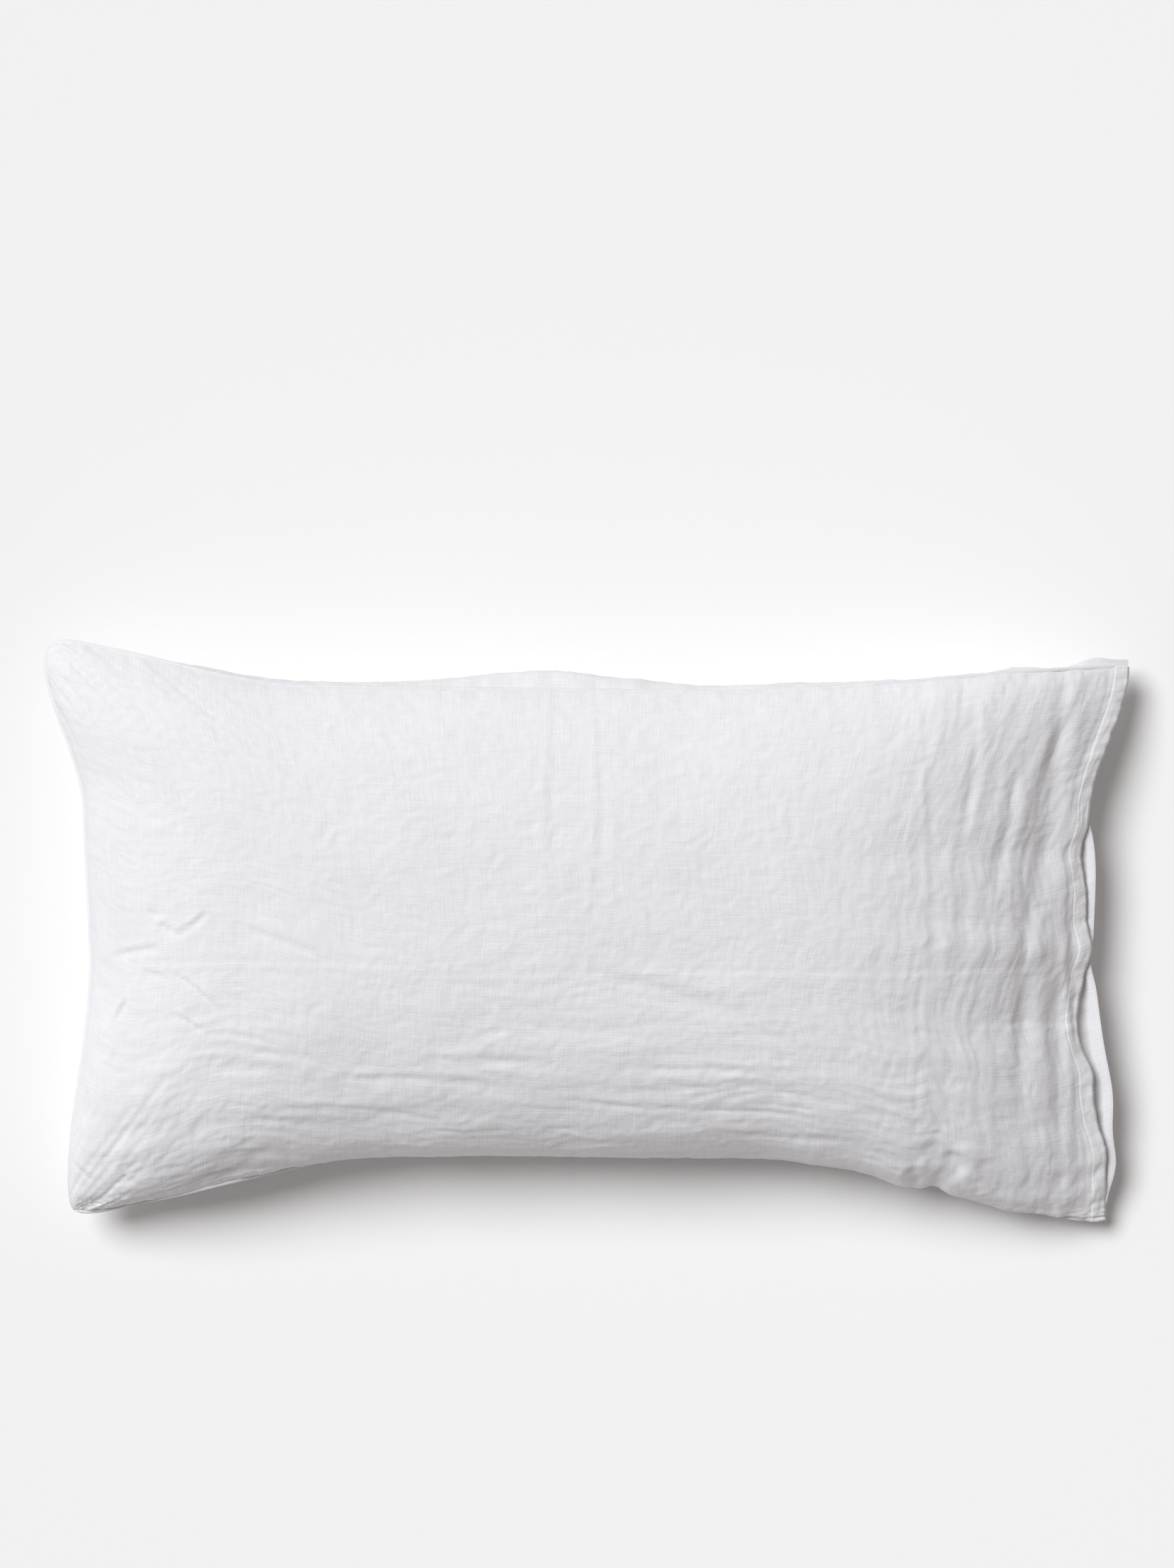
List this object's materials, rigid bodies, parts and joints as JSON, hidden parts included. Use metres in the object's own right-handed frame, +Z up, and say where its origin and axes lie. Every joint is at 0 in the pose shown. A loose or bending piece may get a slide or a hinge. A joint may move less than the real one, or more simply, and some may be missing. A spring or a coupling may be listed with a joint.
{
  "type": "bed pillow",
  "caption": "King-size bed pillow: a soft fibre insert with a corded edge inside a linen envelope pillowcase with a hemmed, tuck-in mouth.",
  "frame": {"origin": "centre of the pillow's plan, on the surface it lies on", "axes": "+X along the pillow towards the open end of the case, +Y towards the upper side seam, +Z up out of the surface the pillow lies on"},
  "size_m": [0.895, 0.477, 0.16],
  "materials": {
    "linen": "matt washed linen, plain weave with slubs",
    "linen_hem": "matt washed linen, turned double",
    "thread": "matt sewing thread",
    "ticking": "smooth tightly woven cotton",
    "fibre": "loose white fibre",
    "label": "smooth satin ribbon, blank"
  },
  "bodies": {
    "pillowcase": {"front_panel": "linen", "front_hem": "linen_hem", "front_hem_stitching": "thread", "back_panel": "linen", "tuck_flap": "linen", "flap_hem": "linen_hem", "flap_hem_stitching": "thread", "upper_side_seam": "linen", "lower_side_seam": "linen", "closed_end_seam": "linen", "mouth_tack_upper": "thread", "mouth_tack_lower": "thread", "case_care_label": "label"},
    "insert": {"ticking_top": "ticking", "ticking_bottom": "ticking", "ticking_piping": "ticking", "fill_core": "fibre", "insert_care_label": "label"}
  },
  "joints": [
    {"name": "insert_slide", "type": "slide", "parent": "pillowcase", "child": "insert", "axis": [1, 0, 0], "range_m": [0, 0.9], "deforming": ["front_panel", "front_hem", "front_hem_stitching", "back_panel", "tuck_flap", "flap_hem", "flap_hem_stitching", "upper_side_seam", "lower_side_seam", "closed_end_seam", "mouth_tack_upper", "mouth_tack_lower", "case_care_label"]}
  ]
}
